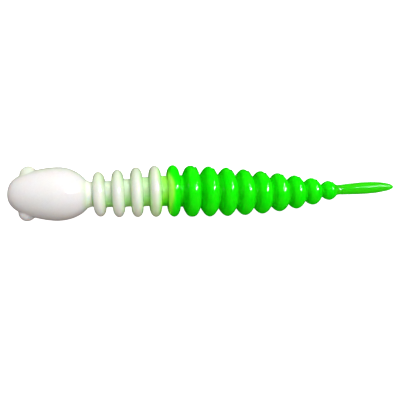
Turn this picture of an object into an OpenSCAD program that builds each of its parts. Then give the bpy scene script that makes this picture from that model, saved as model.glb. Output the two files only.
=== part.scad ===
// Soft plastic trout worm with a round-nosed head, two side eyes, fourteen rings and a pin tail.
// Millimetres. The nose points to -X, the tail to +X, the back of the worm is up (+Z).
// The origin is under the middle of the bounding box, on the plane that the belly rests on.

/* [Overall] */
// Length from the nose to the tip of the tail
overall_length = 65; // [62:0.5:70]
// Depth by which the belly is flattened where it rests
belly_flat_depth = 0.18; // [0.12:0.01:0.22]

/* [Head] */
// Largest width of the head
head_diameter = 8.54; // [8.4:0.02:8.7]
// Length of the head from the nose to its widest place
head_front_length = 7.45; // [7:0.05:7.6]
// Length over which the back of the head rounds off
head_back_length = 5.3; // [5:0.05:5.6]
// Diameter of each eye
eye_diameter = 2.7; // [2.4:0.1:3]
// Distance that each eye stands out from the middle plane
eye_reach = 4.32; // [4.1:0.02:4.5]
// Distance from the nose to the middle of the eyes
nose_to_eye = 3; // [2.6:0.1:3.6]

/* [Rings] */
// Distance between one ring and the next
ring_pitch = 2.99; // [2.95:0.01:3.05]
// Distance from the nose to the middle of the first ring
nose_to_first_ring = 14.1; // [13.9:0.05:14.4]
// Diameter of the largest ring
largest_ring_diameter = 8.5; // [8.3:0.02:8.6]
// Diameter of the first ring
first_ring_diameter = 7.22; // [7:0.02:7.4]
// Thickness of the rings at the head end
front_ring_thickness = 1.94; // [1.8:0.02:1.98]
// Depth over which the rims of the rings at the head end are rounded
front_rim_depth = 1.45; // [1.2:0.05:1.45]
// Depth over which the rim of ring 7 is rounded, from where it gets less towards the tail
rear_rim_depth = 0.87; // [0.8:0.01:0.88]
// Length of the web in the narrow grooves between the rings at the tail end
narrow_web_length = 0.7; // [0.68:0.01:0.8]

/* [Core] */
// Diameter of the neck behind the head
neck_diameter = 4; // [3.6:0.05:4.1]
// Growth of the core's diameter from one groove to the next
core_growth = 0.25; // [0.2:0.005:0.26]
// Depth of the shallow grooves between the rings at the tail end
shallow_groove_depth = 0.96; // [0.95:0.01:1.05]

/* [Tail] */
// Diameter of the tail where it leaves the last ring
tail_root_diameter = 1.6; // [1.5:0.02:1.8]
// Largest diameter of the tail
tail_diameter = 2.06; // [1.96:0.02:2.2]

/* [Hidden] */
// Part drawn: all, or one sub-part by its name.
ring_count = 14;
last_front_ring = 5;
facets = 40;
nose_x = -overall_length / 2;
tip_x = overall_length / 2;
head_mid_x = nose_x + head_front_length;
axis_z = head_diameter / 2 - belly_flat_depth;
peak_ring = 5.1;
ring_reach = 10.56;
root_web_length = 0.75;
tail_web_length = 0.62;
front_colour = "#f4f6ee";
tinted_colour = "#b9e695";
rear_colour = "#16dc0c";

// Place of ring k along the body.
function ring_x(k) = nose_x + nose_to_first_ring + (k - 1) * ring_pitch;

// Radius of ring k, which grows to the peak ring and then rounds off to the tail.
function ring_radius(k) = k < peak_ring
  ? largest_ring_diameter / 2
    - (largest_ring_diameter - first_ring_diameter) / 2 * pow((peak_ring - k) / (peak_ring - 1), 1.75)
  : largest_ring_diameter / 2 * pow(1 - pow((k - peak_ring) / ring_reach, 2.24), 1 / 1.2);

// Depth of the groove behind ring k, which gets less and less and then stays the same.
function groove_depth(k) = shallow_groove_depth + max(0.2 * (9 - k), 0);

// Radius of the core in the groove behind ring k. Groove 0 is the neck.
function core_radius(k) = k == ring_count
  ? tail_root_diameter / 2
  : (k <= last_front_ring
    ? (neck_diameter + k * core_growth) / 2
    : ring_radius(k + 0.5) - groove_depth(k));

// Half of the thickness of ring k where its rounded rim ends.
function half_base(k) = k < last_front_ring
  ? front_ring_thickness / 2
  : (k == last_front_ring
    ? front_ring_thickness / 2 + 0.03
    : (ring_pitch - narrow_web_length) / 2);

// Depth of the rounded rim of ring k.
function rim_depth(k) = k <= last_front_ring ? front_rim_depth : rear_rim_depth - 0.04 * (k - 7);

// Share of its depth that the rim of ring k has come down at a share of its half thickness.
function rim_drop(k, share) = k <= last_front_ring
  ? 1 - sqrt(1 - share * share)
  : pow(abs(share), k == last_front_ring + 1 ? 2.6 : 2);

// Rounded rim of ring k from first to last, as shares of its half thickness from -1 to 1.
function rim_section(k, first, last, steps) = [
  for (i = [0:steps])
    let (share = sin(90 * (first + (last - first) * i / steps)))
    [ring_radius(k) - rim_depth(k) * rim_drop(k, share), share * half_base(k)]
];

// Radius of the head at a place along the body.
function head_radius(x) = x < head_mid_x
  ? head_diameter / 2 * pow(1 - pow((head_mid_x - x) / head_front_length, 1.5), 1 / 2.8)
  : head_diameter / 2 * pow(1 - pow((x - head_mid_x) / head_back_length, 2.2), 1 / 2);

// Place where the back of the head has come down to the neck.
neck_start_x = head_mid_x
  + head_back_length * pow(1 - pow(neck_diameter / head_diameter, 2), 1 / 2.2);
neck_end_x = ring_x(1) - half_base(1);
tail_start_x = ring_x(ring_count) + half_base(ring_count);
stem_start_x = tail_start_x + root_web_length;
stem_end_x = tail_start_x + 0.46 * (tip_x - tail_start_x);
tip_start_x = stem_end_x + tail_web_length;

// Radius of the tail at a place along the body.
function tail_radius(x) = let (
  along = (x - tail_start_x) / (tip_x - tail_start_x)
) along < 0.5
  ? tail_root_diameter / 2
    + (tail_diameter - tail_root_diameter) / 2 * pow(sin(180 * along), 1.2)
  : tail_diameter / 2 * sqrt(1 - pow(2 * along - 1, 2.2));

// Turns a section of radius and length about the long axis of the body.
module turned(section) {
  translate([0, 0, axis_z])
    rotate([0, 90, 0])
      rotate_extrude($fn = facets)
        polygon(section);
}

// Cuts off what lies below the plane that the belly rests on.
module resting() {
  difference() {
    children();
    translate([-60, -20, -10])
      cube([120, 40, 10]);
  }
}

module head_shape() {
  front_steps = 16;
  back_steps = 11;
  front = [
    for (i = [1:front_steps])
      let (x = head_mid_x - head_front_length * cos(90 * i / front_steps))
      [head_radius(x), x]
  ];
  back = [
    for (i = [1:back_steps])
      let (x = head_mid_x + (neck_start_x - head_mid_x) * sin(90 * i / back_steps))
      [head_radius(x), x]
  ];
  resting()
    turned(concat([[0, nose_x]], front, back, [[0, neck_start_x]]));
}

module eye(side) {
  difference() {
    translate([nose_x + nose_to_eye, side * (eye_reach - eye_diameter / 2), axis_z])
      sphere(d = eye_diameter, $fn = 32);
    head_shape();
  }
}

// Ring k between two places, as shares of its half thickness from -1 to 1.
module ring_part(k, first, last) {
  rim = rim_section(k, first, last, 6 * (last - first));
  section = concat([[0, first * half_base(k)]], rim, [[0, last * half_base(k)]]);
  placed = [for (p = section) [p[0], p[1] + ring_x(k)]];
  if (ring_radius(k) > axis_z) {
    resting()
      turned(placed);
  } else {
    turned(placed);
  }
}

module ring(k) {
  ring_part(k, -1, 1);
}

// Web of core in the groove behind ring k.
module web(k) {
  start_x = ring_x(k) + half_base(k);
  end_x = ring_x(k + 1) - half_base(k + 1);
  translate([start_x, 0, axis_z])
    rotate([0, 90, 0])
      cylinder(r = core_radius(k), h = end_x - start_x, $fn = facets);
}

// Length of the tail between two places along the body.
module tail_part(start_x, end_x, steps) {
  ends_in_tip = end_x >= tip_x;
  section = [
    for (i = [0:steps])
      let (x = start_x + (end_x - start_x) * (ends_in_tip ? sin(90 * i / steps) : i / steps))
      [x >= tip_x ? 0 : tail_radius(x), x]
  ];
  turned(concat([[0, start_x]], section, ends_in_tip ? [] : [[0, end_x]]));
}

module head() {
  color(front_colour)
    head_shape();
}

// The worm faces -X, so its left side is -Y.
module left_eye() {
  color(front_colour)
    eye(-1);
}

module right_eye() {
  color(front_colour)
    eye(1);
}

// Flexible neck between the head and the first ring.
module neck() {
  color(tinted_colour)
    translate([neck_start_x, 0, axis_z])
      rotate([0, 90, 0])
        cylinder(d = neck_diameter, h = neck_end_x - neck_start_x, $fn = facets);
}

module ring_01() {
  color(front_colour)
    ring(1);
}

module web_01() {
  color(tinted_colour)
    web(1);
}

module ring_02() {
  color(front_colour)
    ring(2);
}

module web_02() {
  color(tinted_colour)
    web(2);
}

module ring_03() {
  color(front_colour)
    ring(3);
}

module web_03() {
  color(tinted_colour)
    web(3);
}

module ring_04() {
  color(front_colour)
    ring(4);
}

module web_04() {
  color(tinted_colour)
    web(4);
}

// Ring 5 is where the two shots meet.
module ring_05_front() {
  color(tinted_colour)
    ring_part(5, -1, 0);
}

module ring_05_rear() {
  color(rear_colour)
    ring_part(5, 0, 1);
}

module web_05() {
  color(rear_colour)
    web(5);
}

module ring_06() {
  color(rear_colour)
    ring(6);
}

module web_06() {
  color(rear_colour)
    web(6);
}

module ring_07() {
  color(rear_colour)
    ring(7);
}

module web_07() {
  color(rear_colour)
    web(7);
}

module ring_08() {
  color(rear_colour)
    ring(8);
}

module web_08() {
  color(rear_colour)
    web(8);
}

module ring_09() {
  color(rear_colour)
    ring(9);
}

module web_09() {
  color(rear_colour)
    web(9);
}

module ring_10() {
  color(rear_colour)
    ring(10);
}

module web_10() {
  color(rear_colour)
    web(10);
}

module ring_11() {
  color(rear_colour)
    ring(11);
}

module web_11() {
  color(rear_colour)
    web(11);
}

module ring_12() {
  color(rear_colour)
    ring(12);
}

module web_12() {
  color(rear_colour)
    web(12);
}

module ring_13() {
  color(rear_colour)
    ring(13);
}

module web_13() {
  color(rear_colour)
    web(13);
}

module ring_14() {
  color(rear_colour)
    ring(14);
}

module tail_root_web() {
  color(rear_colour)
    tail_part(tail_start_x, stem_start_x, 2);
}

module tail_stem() {
  color(rear_colour)
    tail_part(stem_start_x, stem_end_x, 8);
}

module tail_web() {
  color(rear_colour)
    tail_part(stem_end_x, tip_start_x, 2);
}

module tail_tip() {
  color(rear_colour)
    tail_part(tip_start_x, tip_x, 12);
}

head();
left_eye();
right_eye();
neck();
ring_01();
web_01();
ring_02();
web_02();
ring_03();
web_03();
ring_04();
web_04();
ring_05_front();
ring_05_rear();
web_05();
ring_06();
web_06();
ring_07();
web_07();
ring_08();
web_08();
ring_09();
web_09();
ring_10();
web_10();
ring_11();
web_11();
ring_12();
web_12();
ring_13();
web_13();
ring_14();
tail_root_web();
tail_stem();
tail_web();
tail_tip();
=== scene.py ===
import math

import bpy
from mathutils import Euler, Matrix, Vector, noise


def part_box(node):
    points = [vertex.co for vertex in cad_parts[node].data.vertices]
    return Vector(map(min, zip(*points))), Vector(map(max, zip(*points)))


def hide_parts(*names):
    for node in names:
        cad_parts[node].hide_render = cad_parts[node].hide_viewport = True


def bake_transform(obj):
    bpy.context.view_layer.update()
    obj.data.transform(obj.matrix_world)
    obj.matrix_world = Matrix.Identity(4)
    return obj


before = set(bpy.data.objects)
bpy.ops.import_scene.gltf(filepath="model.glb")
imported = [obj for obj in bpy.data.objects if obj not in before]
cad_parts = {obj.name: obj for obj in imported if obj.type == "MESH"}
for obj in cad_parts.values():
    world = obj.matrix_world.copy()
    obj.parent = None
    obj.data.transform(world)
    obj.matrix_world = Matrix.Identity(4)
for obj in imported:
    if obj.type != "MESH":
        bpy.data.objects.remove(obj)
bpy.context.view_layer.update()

# ---------------------------------------------------------------- sizes read from the frame
MM = 0.001
RING_COUNT = 14
SHOT_RING = 5                   # the two shots meet in this ring, which is the last thin one
FIRST_BROAD = SHOT_RING + 1


def nodes_of_ring(k):
    return ["ring_05_front", "ring_05_rear"] if k == SHOT_RING else ["ring_%02d" % k]


def joined_box(names):
    boxes = [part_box(name) for name in names]
    low = [min(box[0][i] for box in boxes) for i in range(3)]
    high = [max(box[1][i] for box in boxes) for i in range(3)]
    return low, high


head_low, head_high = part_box("head")
neck_low, neck_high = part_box("neck")
AXIS_Z = (neck_low[2] + neck_high[2]) / 2
NOSE_X = head_low[0]
HEAD_BACK_X = head_high[0]
HEAD_R = (head_high[1] - head_low[1]) / 2
TIP_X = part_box("tail_tip")[1][0]
LENGTH = TIP_X - NOSE_X

rings = []
for k in range(1, RING_COUNT + 1):
    low, high = joined_box(nodes_of_ring(k))
    rings.append({"x": (low[0] + high[0]) / 2, "half": (high[0] - low[0]) / 2,
                  "r": (high[1] - low[1]) / 2})

# cores[0] is the neck and cores[k] the web behind ring k
cores = []
for name in ["neck"] + ["web_%02d" % k for k in range(1, RING_COUNT)] + ["tail_root_web"]:
    low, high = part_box(name)
    cores.append({"start": low[0], "end": high[0], "r": (high[1] - low[1]) / 2})

SHOT_X = rings[SHOT_RING - 1]["x"]
PITCH = rings[1]["x"] - rings[0]["x"]


# ---------------------------------------------------------------- helpers
def smoothstep(a, b, x):
    """0 up to a and 1 from b on, smooth between. With b below a it falls as x grows."""
    t = min(max((x - a) / (b - a), 0.0), 1.0)
    return t * t * (3 - 2 * t)


def smooth_max(a, b, soft):
    return 0.5 * (a + b + math.sqrt((a - b) ** 2 + soft ** 2))


def mix(a, b, t):
    return a + (b - a) * t


def bell(x, middle, width):
    return math.exp(-((x - middle) / width) ** 2)


def through(value, steps, s):
    """Takes value through steps of (next value, start, end), each smooth over its part of s."""
    for following, start, end in steps:
        value = mix(value, following, smoothstep(start, end, s))
    return value


# ---------------------------------------------------------------- how the worm lies
TABLE_GAP, TABLE_SOFT = 0.03 * MM, 0.10 * MM

# Offsets in mm: straight from nose to nape, then in smooth steps over shares of the length.
NOSE_SWAY, NAPE_SWAY, NAPE_SHARE = 0.33, -0.08, 0.23
SWAY_STEPS = ((0.30, 0.20, 0.38), (-0.28, 0.36, 0.68), (0.30, 0.72, 1.0))

HEAD_LEAN = -0.045
LEAN_STEPS = ((0.036, 0.10, 0.21), (0.008, 0.22, 0.50), (0.066, 0.50, 0.78), (0.0, 0.83, 0.90))

# Size and height of the slow unevenness of a soft moulding, and of the fine one on it.
RING_WAVES, RING_GRAIN = (1.7 * MM, 0.035 * MM), (0.55 * MM, 0.006 * MM)
HEAD_WAVES, HEAD_GRAIN = (2.6 * MM, 0.03 * MM), (0.6 * MM, 0.004 * MM)
TAIL_WAVES, TAIL_GRAIN = (1.3 * MM, 0.03 * MM), (0.4 * MM, 0.010 * MM)


def above_table(z):
    """Flattens what would sink into the plane that the belly rests on."""
    return smooth_max(z, TABLE_GAP, TABLE_SOFT)


def share_of_length(x):
    """0 at the nose and 1 at the tip of the tail."""
    return (x - NOSE_X) / LENGTH


def sway(x):
    """Sideways offset of the body, which lies in a very slight S on the table."""
    s = share_of_length(x)
    along = mix(NOSE_SWAY, NAPE_SWAY, min(max(s / NAPE_SHARE, 0.0), 1.0))
    return through(along, SWAY_STEPS, s) * MM


def lean(x):
    """Slope by which the head leans back and the rings lean forward on the right side."""
    return through(HEAD_LEAN, LEAN_STEPS, share_of_length(x))


def place_of(x, r, angle):
    """Place on the straight worm, from which its ripples are looked up."""
    return Vector((x, r * math.sin(angle), r * math.cos(angle)))


def ripple(place, size, height):
    """Unevenness of the skin, always the same at the same place."""
    return noise.noise(place / size) * height


# ---------------------------------------------------------------- mesh building
def mesh_object(name, verts, faces, tints, lights):
    """Smooth mesh that stores its place at rest in mm, its share of green and its painted light
    and shade.
    """
    mesh = bpy.data.meshes.new(name)
    mesh.from_pydata([tuple(v) for v in verts], [], faces)
    mesh.update()
    mesh.shade_smooth()
    rest = mesh.attributes.new("rest_place", "FLOAT_VECTOR", "POINT")
    rest.data.foreach_set("vector", [c / MM for v in verts for c in v])
    for label, values in (("green_share", tints), ("painted_shading", lights)):
        stored = mesh.attributes.new(label, "FLOAT", "POINT")
        stored.data.foreach_set("value", values)
    obj = bpy.data.objects.new(name, mesh)
    bpy.context.scene.collection.objects.link(obj)
    return obj


def turned_piece(name, profile, around, radius_at, tint_at, light_at):
    """Closed surface turned about the long axis. profile is a list of (x, radius)."""
    verts, faces, tints, lights = [], [], [], []

    def add(point, x, r, angle):
        verts.append(point)
        tints.append(tint_at(x, r, angle))
        lights.append(light_at(x, r, angle))

    def add_centre(x, r):
        add(Vector((x, sway(x), AXIS_Z)), x, r, 0.0)

    add_centre(*profile[0])
    for x, r in profile:
        for j in range(around):
            angle = 2 * math.pi * j / around
            rr = radius_at(x, r, angle)
            p = Vector((x, rr * math.sin(angle), AXIS_Z + rr * math.cos(angle)))
            p.z = above_table(p.z)
            p.x -= lean(x) * p.y
            p.y += sway(x)
            add(p, x, rr, angle)
    add_centre(*profile[-1])

    first, last = 0, len(verts) - 1
    last_row = 1 + (len(profile) - 1) * around
    for j in range(around):
        after = (j + 1) % around
        faces.append((first, 1 + after, 1 + j))
        for i in range(len(profile) - 1):
            a, b = 1 + i * around, 1 + (i + 1) * around
            faces.append((a + j, a + after, b + after, b + j))
        faces.append((last, last_row + j, last_row + after))
    return mesh_object(name, verts, faces, tints, lights)


def arc(cx, cr, radius, start, end, steps):
    """Points of an arc in the (x, radius) plane, angles in degrees from +x."""
    out = []
    for i in range(steps + 1):
        a = math.radians(mix(start, end, i / steps))
        out.append((cx + radius * math.cos(a), cr + radius * math.sin(a)))
    return out


def thin(points, gap):
    """Drops points that lie nearer than gap to the one before."""
    out = [points[0]]
    for p in points[1:]:
        if math.dist(p, out[-1]) > gap:
            out.append(p)
    return out


def stretch_between(a, b, gap):
    """Points about gap apart on the straight line from a to b, without its ends."""
    n = max(1, int(math.dist(a, b) / gap))
    return [(mix(a[0], b[0], i / n), mix(a[1], b[1], i / n)) for i in range(1, n)]


# ---------------------------------------------------------------- colour of the two shots, with painted light and shade
REAR_SHARE = 0.90               # share of green in the rear shot's rings
TAIL_SHARE = 1.0                # and in the tail, which is darker
BORDER_TOP = 0.26 * MM          # how far ahead of the middle of ring 5 the rear shot begins
BORDER_RIGHT = 0.8 * MM         # how much further ahead on each side
BORDER_LEFT = 0.40 * MM
BORDER_WAVE, BORDER_WAVES = 0.16 * MM, 1.5
BORDER_BLUR = (-0.14, 0.11)     # start and end of the change of colour, in pitches
GROOVE_TOP = 0.45               # share of a ring's height up to which its foot counts as groove


def shot_border(r, angle):
    """Where the rear shot begins, which is a little uneven."""
    side = math.sin(angle)
    right = BORDER_RIGHT * smoothstep(0.15, 1.0, side)
    left = BORDER_LEFT * smoothstep(-0.1, -0.9, side)
    place = Vector((BORDER_WAVES * math.sin(angle), BORDER_WAVES * math.cos(angle), r / MM))
    return SHOT_X - BORDER_TOP - right - left + BORDER_WAVE * noise.noise(place)


def groove_depth(r, core_r, ring_r):
    """1 at the bottom of the groove beside a ring and 0 on the ring."""
    return 1 - smoothstep(core_r, mix(core_r, ring_r, GROOVE_TOP), r)


def bleed(ahead, start, rate):
    """How much of the rear shot's green has spread this many pitches ahead of the border."""
    return math.exp(-max(ahead - start, 0.0) * rate)


def tint_of(x, r, core_r, ring, angle):
    """0 is the off-white of the front shot and REAR_SHARE the green of the rear shot. On the front
    shot it also holds painted shade, as more green on the -y side, and a painted pale green glow
    of light on the +y side.
    """
    side = math.sin(angle)
    ahead = (shot_border(r, angle) - x) / PITCH
    rear = 1 - smoothstep(*BORDER_BLUR, ahead)
    if rear >= 1.0:
        return REAR_SHARE
    across = (x - ring["x"]) / ring["half"]
    # painted shade: more green towards the -y side, away from the key lamp
    shaded = smoothstep(0.25, -0.9, side)
    glow = 0.09 + 0.50 * bleed(ahead, 0.35, 1.35)
    core = glow + 0.30 * shaded
    flanks = 0.75 * smoothstep(0.1, 0.9, across) + 0.35 * smoothstep(-0.6, -1.0, across)
    # the -y side gets more painted green shade, and the +y side a painted pale green glow of light
    shaded_green = 0.03 + 0.22 * bleed(ahead, 0.6, 1.1)
    skin = 0.045 + 0.07 * smoothstep(0.1, 0.9, side) + (glow * flanks + shaded_green * shaded)
    beside = 1 - smoothstep(0.20, 0.50, ahead)
    # the second term is painted shade, more green on the -y side
    edge = 0.64 * beside + 0.12 * shaded * beside
    front = max(mix(skin, core, groove_depth(r, core_r, ring["r"])), edge)
    return mix(front, 1.0, rear) * REAR_SHARE


def painted_shading_of(k, x, r, core_r, angle):
    """Painted light and shade as a factor on the colour: painted shade in the grooves and on the
    broad rings' flanks, painted light on the -y side of the rims and on the front of ring 5.
    """
    ring = rings[k - 1]
    side = math.sin(angle)
    across = (x - ring["x"]) / ring["half"]
    low = smoothstep(0.3, -0.9, side)
    depth = groove_depth(r, core_r, ring["r"])
    if k < SHOT_RING:
        # painted light on the -y side of a thin ring's rim, and painted shade in its grooves
        rim = 0.28 * low * (1 - depth)
        groove = (0.16 - 0.10 * low) * depth * smoothstep(0.7, 0.0, side)
        return 1 + rim - groove
    if k == SHOT_RING:
        # painted light on the front half of ring 5, more on the -y side, and painted shade in its
        # grooves
        rim = (0.22 + 0.20 * low) * smoothstep(0.4, -0.2, across) * (1 - depth)
        groove = (0.05 + 0.18 * low) * depth
        return 1 + rim - groove
    # painted light on the -y side, and painted shade on the front and rear flanks
    rim = 0.26 * smoothstep(-0.1, -0.9, side)
    front_flank_shade = (0.24 + 0.14 * low) * smoothstep(-0.55, -0.88, across)
    rear_flank_shade = 0.20 * smoothstep(0.8, 1.15, across)
    return 1 + rim - front_flank_shade - rear_flank_shade


def tail_painted_light(x, r, angle):
    """Painted light on the tail, which makes it lighter on its left side."""
    return 1 + 0.30 * smoothstep(0.0, -0.9, math.sin(angle))


# ---------------------------------------------------------------- rings with the web behind each
AROUND = 112                    # points round a ring
MIN_STEP = 0.015 * MM           # least distance between two points of a ring's profile
WEB_OVERLAP = 0.32 * MM         # how far a web reaches into the piece behind it
WEB_STEP = 0.05 * MM
# These keep the surfaces of overlapping pieces apart.
FRONT_SINK, REAR_SINK, WEB_SINK = 0.015 * MM, 0.014 * MM, 0.02 * MM

RIM_DEPTH = 1.45 * MM           # how far down the rounded rim of a thin ring goes
RIM_STEPS = 30
FILLET = 0.22 * MM              # at the foot of a thin ring
FILLET_STEPS = 6
FLANK_STEP = 0.09 * MM
FLANK_TILT = 6                  # degrees by which a thin ring's flanks lean

RING_STEPS = 34                 # profile points on each half of a broad ring
CREASE_SOFT = 0.16 * MM         # rounding of the crease between two broad rings
CREASE_OVERLAP = 0.22 * MM
CREASE_SEARCH = 40
FIRST_REACH, LAST_REACH = 1.75 * MM, 1.9 * MM   # ring 6 forwards and ring 14 backwards
TAIL_FILLET = 0.30 * MM         # between ring 14 and the tail

NOTCH_WIDTH, NOTCH_REACH = 17.0, 45             # degrees round the ring
NOTCH_FROM = 0.4                # share of the ring's height from which the notch is cut


def front_ring_profile(k):
    """Profile of one of the thin rings at the head end, with the fillets to its core."""
    ring, front, rear = rings[k - 1], cores[k - 1], cores[k]
    x0, half = ring["x"], ring["half"]
    foot = front["r"] - FRONT_SINK
    up = arc(x0 - half - FILLET, foot + FILLET, FILLET, -90, -FLANK_TILT, FILLET_STEPS)
    rim = []
    for i in range(RIM_STEPS + 1):
        a = math.radians(mix(-90, 90, i / RIM_STEPS))
        rim.append((x0 + half * math.sin(a), ring["r"] - RIM_DEPTH * (1 - math.cos(a))))
    down = arc(x0 + half + FILLET, rear["r"] + FILLET, FILLET, 180 + FLANK_TILT, 270,
               FILLET_STEPS)
    return (up + stretch_between(up[-1], rim[0], FLANK_STEP) + rim
            + stretch_between(rim[-1], down[0], FLANK_STEP) + down)


def crown(k, x):
    """Radius of one of the broad rings at the tail end, carried on past its edges."""
    ring = rings[k - 1]
    across = abs(x - ring["x"]) / ring["half"]
    if k == FIRST_BROAD:
        drop, power = 0.86, 2.8     # this one has a flatter top
    else:
        drop, power = 0.87 - 0.04 * (k - FIRST_BROAD - 1), 2
    return ring["r"] - drop * MM * across ** power


def crease(k):
    """Place and radius at which ring k and ring k + 1 would meet."""
    a, b = rings[k - 1]["x"], rings[k]["x"]
    for _ in range(CREASE_SEARCH):
        x = (a + b) / 2
        if crown(k, x) > crown(k + 1, x):
            a = x
        else:
            b = x
    return x, crown(k, x)


def rear_ring_profile(k):
    """Profile of one of the broad rings, from the crease in front of it to the one behind."""
    x0 = rings[k - 1]["x"]
    if k == FIRST_BROAD:
        start_x, start_r = x0 - FIRST_REACH, cores[k - 1]["r"]
    else:
        start_x, start_r = crease(k - 1)
        start_x -= CREASE_OVERLAP
    start_r -= REAR_SINK
    points = []
    for i in range(RING_STEPS + 1):
        x = mix(start_x, x0, i / RING_STEPS)
        points.append((x, smooth_max(crown(k, x), start_r, CREASE_SOFT)))
    if k == RING_COUNT:
        end_x, soft = x0 + LAST_REACH, TAIL_FILLET
    else:
        end_x, end_r = crease(k)
        end_x += CREASE_OVERLAP
        soft = CREASE_SOFT
    for i in range(1, RING_STEPS + 1):
        x = mix(x0, end_x, i / RING_STEPS)
        low_r = tail_radius(x) if k == RING_COUNT else end_r
        points.append((x, smooth_max(crown(k, x), low_r, soft)))
    return points


def notch(k, x, angle):
    """Uneven flash where the two halves of the mould met, on the right side of the rings."""
    off = math.degrees(angle) - 90
    if k < FIRST_BROAD or abs(off) > NOTCH_REACH:
        return 0.0
    behind = (x - rings[k - 1]["x"]) / MM
    # place and depth of the cut in mm, a little different on each ring, with a lump behind it
    cut = 0.52 + 0.10 * noise.noise(Vector((k * 1.7, 3.1, 0.4)))
    deep = 0.28 + 0.12 * noise.noise(Vector((k * 2.3, 0.7, 5.2)))
    lump = 0.19 * bell(behind - cut, 0.42, 0.22) - deep * bell(behind, cut, 0.15)
    return bell(off, 0.0, NOTCH_WIDTH) * lump * MM


def make_segment(k):
    """Ring k with the web behind it."""
    ring, front, rear = rings[k - 1], cores[k - 1], cores[k]
    if k <= SHOT_RING:
        profile, sink = front_ring_profile(k), 0.0
    else:
        profile, sink = rear_ring_profile(k), WEB_SINK
    end = (rear["end"] + WEB_OVERLAP, profile[-1][1] - sink)
    profile += stretch_between(profile[-1], end, WEB_STEP) + [end]

    def core_at(x):
        return front["r"] if x < ring["x"] else rear["r"]

    def radius_at(x, r, angle):
        high = smoothstep(front["r"], ring["r"], r)
        place = place_of(x, r, angle)
        out = r + high * ripple(place, *RING_WAVES) + ripple(place, *RING_GRAIN)
        if r > mix(front["r"], ring["r"], NOTCH_FROM):
            out += notch(k, x, angle)
        return out

    def tint_at(x, r, angle):
        return tint_of(x, r, core_at(x), ring, angle)

    def light_at(x, r, angle):
        return painted_shading_of(k, x, r, core_at(x), angle)

    return turned_piece("segment_%02d" % k, thin(profile, MIN_STEP), AROUND,
                        radius_at, tint_at, light_at)


# ---------------------------------------------------------------- head, eyes and neck in one skin
HEAD_AROUND = 176
HEAD_MID_X = NOSE_X + 0.1146 * LENGTH           # where the head is widest
BACK_LENGTH = 0.0815 * LENGTH                   # from there to where the egg would close
NOSE_STEPS, BACK_STEPS, NECK_STEPS = 90, 60, 20
NECK_FILLET, NECK_FILLET_REACH = 0.45 * MM, 1.2 * MM
FINE_STEP = 0.01 * MM           # least distance between two points of the head's or tail's profile
TINY_R = 1e-6                   # radius at the very nose and at the tip of the tail

EYE_LOW, EYE_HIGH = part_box("right_eye")
EYE_R = 1.35 * MM
EYE_X = EYE_LOW[0] + EYE_R
EYE_Y = EYE_HIGH[1] - EYE_R
EYE_FILLET, EYE_FILLET_REACH = 0.08 * MM, 0.6 * MM


def egg_radius(x):
    """Radius of the head without its eyes: blunter in front of its widest place than behind."""
    if x <= HEAD_MID_X:
        t = min((HEAD_MID_X - x) / (HEAD_MID_X - NOSE_X), 1.0)
        return HEAD_R * (1 - t ** 1.5) ** (1 / 2.8)
    t = min((x - HEAD_MID_X) / BACK_LENGTH, 1.0)
    return HEAD_R * (1 - t ** 2.2) ** 0.5


def eye_radius(x, angle):
    """Distance from the long axis to the far side of an eye's sphere, or 0."""
    best = 0.0
    for side in (1, -1):
        # the ray leaves the axis at x in the direction (sin, cos) of angle
        along = side * EYE_Y * math.sin(angle)
        gap = (x - EYE_X) ** 2 + EYE_Y ** 2 - along ** 2
        if gap < EYE_R ** 2 and along > 0:
            best = max(best, along + math.sqrt(EYE_R ** 2 - gap))
    return best


def make_head():
    neck = cores[0]
    profile = []
    for i in range(1, NOSE_STEPS + 1):
        x = HEAD_MID_X - (HEAD_MID_X - NOSE_X) * math.cos(math.pi / 2 * i / NOSE_STEPS)
        profile.append((x, max(egg_radius(x), TINY_R)))
    for i in range(1, BACK_STEPS + 1):
        x = mix(HEAD_MID_X, HEAD_BACK_X, math.sin(math.pi / 2 * i / BACK_STEPS))
        r = egg_radius(x)
        if x > HEAD_BACK_X - NECK_FILLET_REACH:
            r = smooth_max(r, neck["r"], NECK_FILLET)
        profile.append((x, r))
    end_x = neck["end"] + WEB_OVERLAP
    back_r = profile[-1][1]
    for i in range(1, NECK_STEPS + 1):
        s = i / NECK_STEPS
        profile.append((mix(HEAD_BACK_X, end_x, s),
                        mix(neck["r"], back_r, 1 - smoothstep(0, 0.5, s))))

    def radius_at(x, r, angle):
        eye = eye_radius(x, angle)
        near_eye = eye > max(r - EYE_FILLET_REACH, 0.0)
        out = smooth_max(r, eye, EYE_FILLET) if near_eye else r
        place = place_of(x, r, angle)
        waves = ripple(place, *HEAD_WAVES) * smoothstep(0, 1.5 * MM, r)
        return out + waves + ripple(place, *HEAD_GRAIN)

    def tint_at(x, r, angle):
        side = math.sin(angle)
        back = smoothstep(HEAD_MID_X + 3.6 * MM, HEAD_BACK_X + 0.3 * MM, x)
        # green towards the back of the head, with painted shade as more green on the -y side; the
        # last term paints a pale green glow of light along the +y edge
        nape = 0.075 * back + 0.06 * back * smoothstep(0.3, -1.0, side)
        return max(nape, 0.075 * smoothstep(0.72, 1.0, side))

    def light_at(x, r, angle):
        # painted light on the nose and the nape, and painted shade along the -y side
        nose = 0.16 * (1 - smoothstep(0, 1.0 * MM, x - NOSE_X))
        nape = 0.22 * smoothstep(HEAD_BACK_X - 0.3 * MM, HEAD_BACK_X + 0.2 * MM, x)
        return 1 + nose + nape - 0.10 * smoothstep(-0.85, -1.0, math.sin(angle))

    return turned_piece("head_skin", thin(profile, FINE_STEP), HEAD_AROUND,
                        radius_at, tint_at, light_at)


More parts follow.
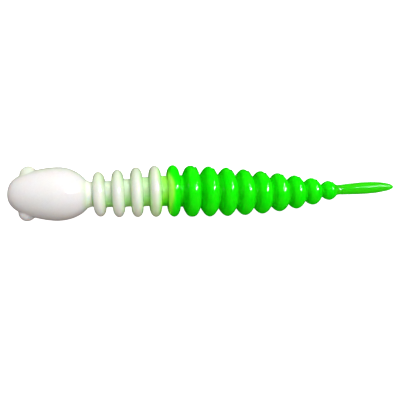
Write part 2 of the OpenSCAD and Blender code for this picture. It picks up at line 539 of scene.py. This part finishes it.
# ---------------------------------------------------------------- tail
TAIL_AROUND = 72
ROOT_X = cores[RING_COUNT]["start"]
SEAM_X = cores[RING_COUNT]["end"] + 0.25 * MM   # where the last segment gives way to the tail
SEAM_OVERLAP, SEAM_SINK = 0.6 * MM, 0.06 * MM
TAIL_R = max(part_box(n)[1][1] for n in ("tail_stem", "tail_web", "tail_tip"))
ROOT_R = 0.777 * TAIL_R
ROOT_STEPS, SEAM_STEPS, TAIL_STEPS = 24, 7, 130


def tail_radius(x):
    """The tail swells from its root to its middle and closes in a slim round tip."""
    s = (x - ROOT_X) / (TIP_X - ROOT_X)
    if s < 0.5:
        return mix(ROOT_R, TAIL_R, math.sin(math.pi * max(s, 0)) ** 1.2)
    return TAIL_R * math.sqrt(max(0.0, 1 - (2 * s - 1) ** 2.2))


def tail_wave(x, r, angle):
    """Radius of the tail with its unevenness, which dies out at the tip."""
    place = place_of(x, r, angle)
    wave = ripple(place, *TAIL_WAVES) + ripple(place, *TAIL_GRAIN)
    return r + wave * smoothstep(0, 0.6 * MM, r)


def make_last_segment():
    """Ring 14 with the root of the tail."""
    k = RING_COUNT
    ring, front = rings[k - 1], cores[k - 1]
    profile = rear_ring_profile(k)
    begin = profile[-1][0]
    for i in range(1, ROOT_STEPS + 1):
        x = mix(begin, SEAM_X, i / ROOT_STEPS)
        profile.append((x, tail_radius(x)))
    for i in range(1, SEAM_STEPS + 1):
        x = SEAM_X + SEAM_OVERLAP * i / SEAM_STEPS
        profile.append((x, tail_radius(x) - SEAM_SINK * smoothstep(0, 1, i / 3)))

    def radius_at(x, r, angle):
        high = smoothstep(front["r"], ring["r"], r)
        waves = ripple(place_of(x, r, angle), *RING_WAVES)
        smooth = r + high * waves + notch(k, x, angle) * high
        return mix(smooth, tail_wave(x, r, angle), smoothstep(ROOT_X, ROOT_X + 0.4 * MM, x))

    def tint_at(x, r, angle):
        return mix(REAR_SHARE, TAIL_SHARE, smoothstep(ring["x"] - 0.5 * MM, SEAM_X, x))

    def light_at(x, r, angle):
        # painted light and shade of ring 14, going over into the painted light of the tail
        ring_light = painted_shading_of(k, x, r, front["r"], angle)
        return mix(ring_light, tail_painted_light(x, r, angle), smoothstep(ring["x"], ROOT_X, x))

    return turned_piece("segment_14", thin(profile, MIN_STEP), AROUND,
                        radius_at, tint_at, light_at)


def make_tail():
    profile = []
    for i in range(TAIL_STEPS + 1):
        x = mix(SEAM_X, TIP_X, math.sin(math.pi / 2 * i / TAIL_STEPS))
        profile.append((x, max(tail_radius(x), TINY_R)))
    return turned_piece("tail_skin", thin(profile, FINE_STEP), TAIL_AROUND,
                        tail_wave, lambda x, r, angle: TAIL_SHARE, tail_painted_light)


head = make_head()
segments = [make_segment(k) for k in range(1, RING_COUNT)] + [make_last_segment()]
tail = make_tail()


# ---------------------------------------------------------------- materials
# Colour by share of green, from the front shot over the bled green to the rear shot and the tail.
RAMP = (
    (0.00, (0.872, 0.872, 0.870)),
    (0.135, (0.68, 0.87, 0.57)),
    (0.315, (0.47, 0.86, 0.33)),
    (0.585, (0.37, 0.96, 0.09)),
    (0.70, (0.25, 0.95, 0.04)),
    (0.80, (0.07, 0.91, 0.015)),
    (REAR_SHARE, (0.004, 0.92, 0.002)),
    (TAIL_SHARE, (0.032, 0.66, 0.005)),
)
# Noises over the place in mm: scale and detail.
CLOUDS, SPECKS, BUMPS = (0.9, 3.0), (3.5, 2.0), (2.6, 2.5)
CLOUD_GAIN, CLOUD_OFFSET = 0.06, -0.04          # on the share of green
BRIGHTNESS_SPREAD = (0.95, 1.05)
ROUGHNESS_SPREAD = (-0.03, 0.05)
BUMP_HEIGHT = 0.00003
SCATTER_DEPTH = 0.0008

FRONT_LOOK = {"rough": 0.065, "bump": 0.25, "ior": 1.40, "shine": 0.5,
              "deep": 0.45, "reach": (1.0, 0.75, 0.55)}
REAR_LOOK = {"rough": 0.06, "bump": 0.20, "ior": 1.34, "shine": 0.5,
             "deep": 0.30, "reach": (0.3, 1.0, 0.2)}
TAIL_LOOK = {**REAR_LOOK, "bump": 0.60, "shine": 0.16}


def soft_plastic(name, look):
    """Soft glossy plastic, whose colour follows the stored share of green and the stored painted
    light and shade.
    """
    mat = bpy.data.materials.new(name)
    mat.use_nodes = True
    tree = mat.node_tree
    tree.nodes.clear()
    new, link = tree.nodes.new, tree.links.new

    def stored(label):
        node = new("ShaderNodeAttribute")
        node.attribute_name = label
        return node.outputs

    def noise_over(place, scale, detail):
        node = new("ShaderNodeTexNoise")
        node.inputs["Scale"].default_value = scale
        node.inputs["Detail"].default_value = detail
        link(place, node.inputs["Vector"])
        return node.outputs["Fac"]

    def combine(operation, a, b):
        node = new("ShaderNodeMath")
        node.operation = operation
        link(a, node.inputs[0])
        link(b, node.inputs[1])
        return node.outputs["Value"]

    def spread(source, low, high):
        node = new("ShaderNodeMapRange")
        link(source, node.inputs["Value"])
        node.inputs["To Min"].default_value = low
        node.inputs["To Max"].default_value = high
        return node.outputs["Result"]

    out = new("ShaderNodeOutputMaterial")
    skin = new("ShaderNodeBsdfPrincipled")
    link(skin.outputs["BSDF"], out.inputs["Surface"])
    place = stored("rest_place")["Vector"]

    cloud = new("ShaderNodeMath")
    cloud.operation = "MULTIPLY_ADD"
    link(noise_over(place, *CLOUDS), cloud.inputs[0])
    cloud.inputs[1].default_value = CLOUD_GAIN
    cloud.inputs[2].default_value = CLOUD_OFFSET
    share = combine("ADD", stored("green_share")["Fac"], cloud.outputs["Value"])

    ramp = new("ShaderNodeValToRGB")
    stops = ramp.color_ramp
    stops.interpolation = "LINEAR"
    while len(stops.elements) < len(RAMP):
        stops.elements.new(0.5)
    for element, (at, colour) in zip(stops.elements, RAMP):
        element.position = at
        element.color = (*colour, 1.0)
    link(share, ramp.inputs["Fac"])

    speck = noise_over(place, *SPECKS)
    # the stored painted light and shade, times a random spread of tone, sets the colour's value
    light = combine("MULTIPLY", spread(speck, *BRIGHTNESS_SPREAD), stored("painted_shading")["Fac"])
    shaded = new("ShaderNodeHueSaturation")
    link(light, shaded.inputs["Value"])
    link(ramp.outputs["Color"], shaded.inputs["Color"])
    link(shaded.outputs["Color"], skin.inputs["Base Color"])

    low, high = ROUGHNESS_SPREAD
    link(spread(speck, look["rough"] + low, look["rough"] + high), skin.inputs["Roughness"])

    bump = new("ShaderNodeBump")
    bump.inputs["Strength"].default_value = look["bump"]
    bump.inputs["Distance"].default_value = BUMP_HEIGHT
    link(noise_over(place, *BUMPS), bump.inputs["Height"])
    link(bump.outputs["Normal"], skin.inputs["Normal"])

    skin.inputs["IOR"].default_value = look["ior"]
    skin.inputs["Specular IOR Level"].default_value = look["shine"]
    skin.inputs["Subsurface Weight"].default_value = look["deep"]
    skin.inputs["Subsurface Radius"].default_value = look["reach"]
    skin.inputs["Subsurface Scale"].default_value = SCATTER_DEPTH
    return mat


front_plastic = soft_plastic("front_plastic", FRONT_LOOK)
rear_plastic = soft_plastic("rear_plastic", REAR_LOOK)
tail_plastic = soft_plastic("tail_plastic", TAIL_LOOK)

for piece in [head] + segments[:SHOT_RING - 1]:
    piece.data.materials.append(front_plastic)
for piece in segments[SHOT_RING - 1:]:
    piece.data.materials.append(rear_plastic)
tail.data.materials.append(tail_plastic)


def on_axis(x):
    return (x, 0, AXIS_Z)


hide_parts("head", "left_eye", "right_eye", "neck")
on_axis(cores[0]["start"])
on_axis(cores[0]["end"])
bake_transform(head)
for k in range(1, RING_COUNT):
    piece = segments[k - 1]
    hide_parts(*nodes_of_ring(k), "web_%02d" % k)
    on_axis(cores[k]["start"])
    on_axis(cores[k]["end"])
    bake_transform(piece)
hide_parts("ring_14", "tail_root_web")
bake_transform(segments[-1])
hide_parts("tail_stem", "tail_web", "tail_tip")
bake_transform(tail)


# ---------------------------------------------------------------- floor and sky
FLOOR_SIZE = 1.6
FLOOR_GREY = (0.55, 0.55, 0.55, 1)
SKY_BELOW = (0.44, 0.31, 0.22, 1)
SKY_ABOVE = (0.48, 0.48, 0.49, 1)

scene = bpy.context.scene
scene.view_settings.view_transform = "Standard"
scene.view_settings.look = "None"

bpy.ops.mesh.primitive_plane_add(size=FLOOR_SIZE, location=(0, 0, 0))
floor = bpy.context.object
floor.name = "floor"
pale = bpy.data.materials.new("pale_floor")
pale.use_nodes = True
pale_skin = pale.node_tree.nodes["Principled BSDF"]
pale_skin.inputs["Base Color"].default_value = FLOOR_GREY
pale_skin.inputs["Emission Color"].default_value = (1, 1, 1, 1)
pale_skin.inputs["Emission Strength"].default_value = 1.0
pale_skin.inputs["Roughness"].default_value = 0.9
pale_skin.inputs["Specular IOR Level"].default_value = 0.0
floor.data.materials.append(pale)
floor.visible_diffuse = False
floor.visible_glossy = False

world = bpy.data.worlds.new("studio")
scene.world = world
world.use_nodes = True
world.cycles_visibility.glossy = False
sky_tree = world.node_tree
sky = sky_tree.nodes["Background"]
sky.inputs["Strength"].default_value = 1.0
up = sky_tree.nodes.new("ShaderNodeTexCoord")
split = sky_tree.nodes.new("ShaderNodeSeparateXYZ")
height = sky_tree.nodes.new("ShaderNodeMapRange")
height.inputs["From Min"].default_value = -1.0
height.inputs["From Max"].default_value = 1.0
sky_colour = sky_tree.nodes.new("ShaderNodeValToRGB")
sky_colour.color_ramp.elements[0].color = SKY_BELOW
sky_colour.color_ramp.elements[1].color = SKY_ABOVE
for source, socket in ((up.outputs["Generated"], split.inputs["Vector"]),
                       (split.outputs["Z"], height.inputs["Value"]),
                       (height.outputs["Result"], sky_colour.inputs["Fac"]),
                       (sky_colour.outputs["Color"], sky.inputs["Color"])):
    sky_tree.links.new(source, socket)


# ---------------------------------------------------------------- lamps
# Name, direction from the worm, distance, width, height and radiance.
SOFT_LAMPS = (
    ("key", (0.33, 0.52, 1.0), 0.35, 0.16, 0.16, 11.0),
    ("side", (0.1, 1.0, 0.2), 0.35, 0.20, 0.20, 1.6),
)
SPARKS = (                      # these make the highlights and give no other light
    ("spark_low", (1.00, 0.36, 1.0), 0.30, 0.040, 0.22, 90),
    ("spark_high", (0.95, 0.80, 1.0), 0.30, 0.022, 0.16, 40),
    ("spark_head", (0.225, 0.306, 1.0), 0.30, 0.035, 0.055, 7),
)
LAMP_TARGET = Vector((NOSE_X + 0.4 * LENGTH, 0, AXIS_Z))


def lamp(name, toward, distance, wide, tall, radiance):
    """Area lamp seen from the worm in the direction toward, of the given size and brightness."""
    data = bpy.data.lights.new(name, "AREA")
    data.shape = "RECTANGLE"
    data.size = wide
    data.size_y = tall
    data.energy = radiance * math.pi * wide * tall
    obj = bpy.data.objects.new(name, data)
    scene.collection.objects.link(obj)
    obj.location = LAMP_TARGET + Vector(toward).normalized() * distance
    obj.rotation_euler = (obj.location - LAMP_TARGET).to_track_quat("Z", "Y").to_euler()
    return obj


for settings in SOFT_LAMPS:
    lamp(*settings).visible_glossy = False
for settings in SPARKS:
    lamp(*settings).visible_diffuse = False

# ---------------------------------------------------------------- camera
SENSOR, LENS = 36.0, 45.0
CAMERA_AT = (0.2768, 1.2646)    # behind the nose and above the axis, in lengths of the worm
ABOUT_Y, ABOUT_X, ABOUT_Z = -8.64, -0.905, -1.08    # degrees, from looking straight down

camera_data = bpy.data.cameras.new("camera")
camera_data.sensor_width = SENSOR
camera_data.lens = LENS
camera_data.clip_start = MM
camera = bpy.data.objects.new("camera", camera_data)
scene.collection.objects.link(camera)
camera.location = (NOSE_X + CAMERA_AT[0] * LENGTH, 0, AXIS_Z + CAMERA_AT[1] * LENGTH)
yaw = Euler((0, math.radians(ABOUT_Y), 0)).to_matrix()
pitch = Euler((math.radians(ABOUT_X), 0, 0)).to_matrix()
roll = Euler((0, 0, math.radians(ABOUT_Z))).to_matrix()
camera.rotation_euler = (yaw @ pitch @ roll).to_euler()
scene.camera = camera
